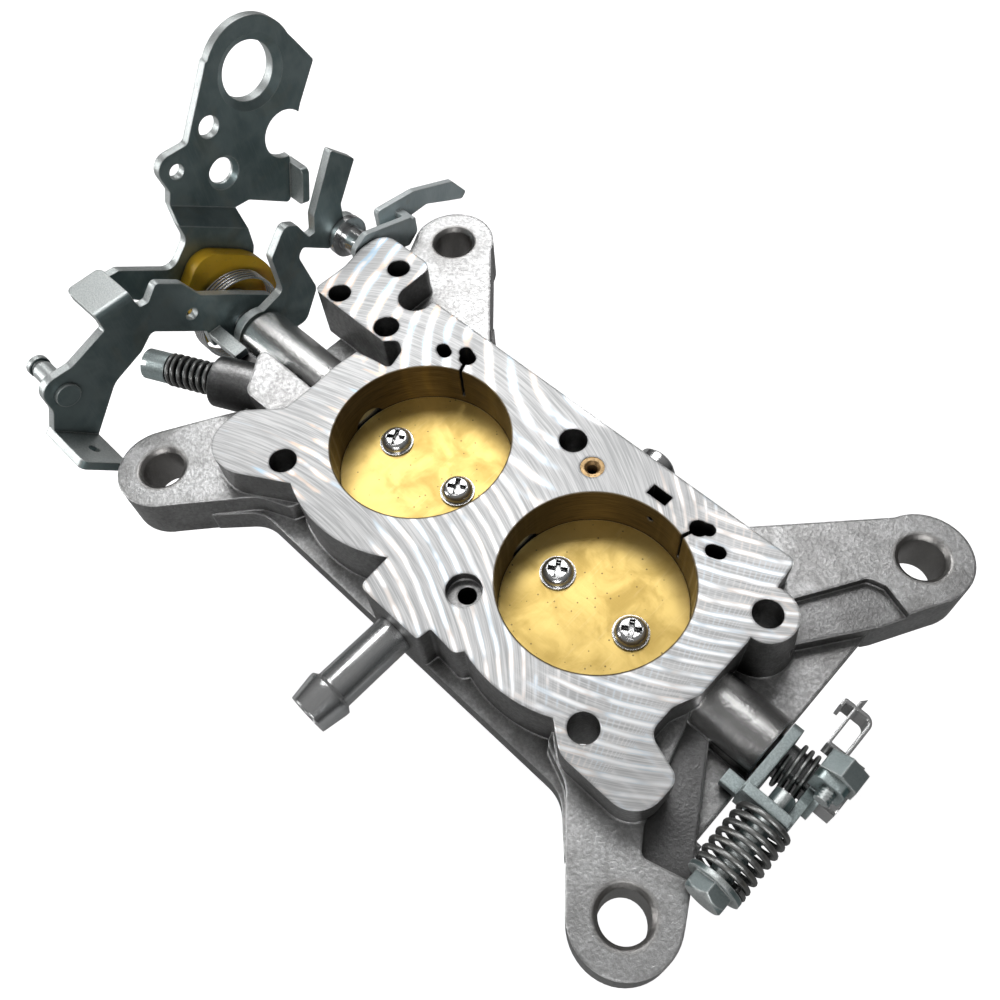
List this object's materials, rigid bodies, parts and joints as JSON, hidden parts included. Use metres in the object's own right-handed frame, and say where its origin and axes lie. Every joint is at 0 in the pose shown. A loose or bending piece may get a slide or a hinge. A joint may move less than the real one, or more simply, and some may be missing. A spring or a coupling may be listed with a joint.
{
  "type": "carburetor throttle body",
  "caption": "Twin-bore throttle body: cast base with brass plates on a shaft, a stack of control levers, spring-loaded idle screws and a vacuum hose barb.",
  "frame": {"origin": "midway between the two throttle bores, on the bottom mounting face", "axes": "+Z from the mounting face to the machined top face, +X along the throttle shaft away from the main lever stack, +Y across the shaft away from the hose barb"},
  "size_m": [0.1897, 0.1213, 0.0695],
  "materials": {
    "cast_aluminium": "grainy die casting with milled top face",
    "bronze": "sintered bronze",
    "brass": "rolled brass with fine scratches",
    "bright_plating": "bright plated steel",
    "zinc_plate": "blue-grey zinc plate",
    "dark_plating": "dark teal zinc plate",
    "spring_steel": "oiled spring wire",
    "yellow_plastic": "moulded yellow plastic"
  },
  "bodies": {
    "base": {"throttle_body": "cast_aluminium", "shaft_bush": "bronze", "air_bleed": "bronze", "hose_barb": "bright_plating", "side_plug": "bright_plating"},
    "throttle": {"throttle_shaft": "bright_plating", "throttle_plate": "brass", "plate_screw": "bright_plating", "throttle_lever": "zinc_plate", "kickdown_lever": "zinc_plate", "lever_stud": "zinc_plate", "pump_cam": "yellow_plastic", "cam_screw": "bright_plating", "lever_spacer": "zinc_plate", "lever_spring": "bright_plating", "lever_washer": "zinc_plate", "shaft_nut": "zinc_plate", "fast_idle_lever": "dark_plating", "clamp_stud": "zinc_plate", "clamp_nut": "zinc_plate", "spring_clip": "bright_plating", "fast_torsion_spring": "spring_steel", "fast_idle_spring": "spring_steel", "end_clip": "dark_plating"},
    "pickup": {"pickup_lever": "zinc_plate", "link_pin": "bright_plating"},
    "link": {"link_lever": "bright_plating"},
    "idle_adjuster": {"idle_screw": "dark_plating", "idle_spring": "spring_steel"},
    "fast_idle_adjuster": {"fast_idle_screw": "zinc_plate"}
  },
  "joints": [
    {"name": "throttle_turn", "type": "hinge", "parent": "base", "child": "throttle", "pos_m": [0, 0, 0.0072], "axis": [-1, 0, 0], "range_deg": [0, 75]},
    {"name": "pickup_turn", "type": "hinge", "parent": "base", "child": "pickup", "pos_m": [-0.0846, 0, 0.0072], "axis": [1, 0, 0], "range_deg": [0, 12]},
    {"name": "link_turn", "type": "hinge", "parent": "pickup", "child": "link", "pos_m": [-0.0759, 0.0305, 0.017], "axis": [1, 0, 0], "range_deg": [-5, 15]},
    {"name": "idle_screw_travel", "type": "slide", "parent": "base", "child": "idle_adjuster", "axis": [0.9052, 0.4251, 0], "range_m": [-0.003, 0.002], "deforming": ["idle_spring"]},
    {"name": "fast_idle_screw_travel", "type": "slide", "parent": "throttle", "child": "fast_idle_adjuster", "axis": [0, 1, 0], "range_m": [-0.0015, 0.002], "deforming": ["fast_idle_spring"]}
  ]
}
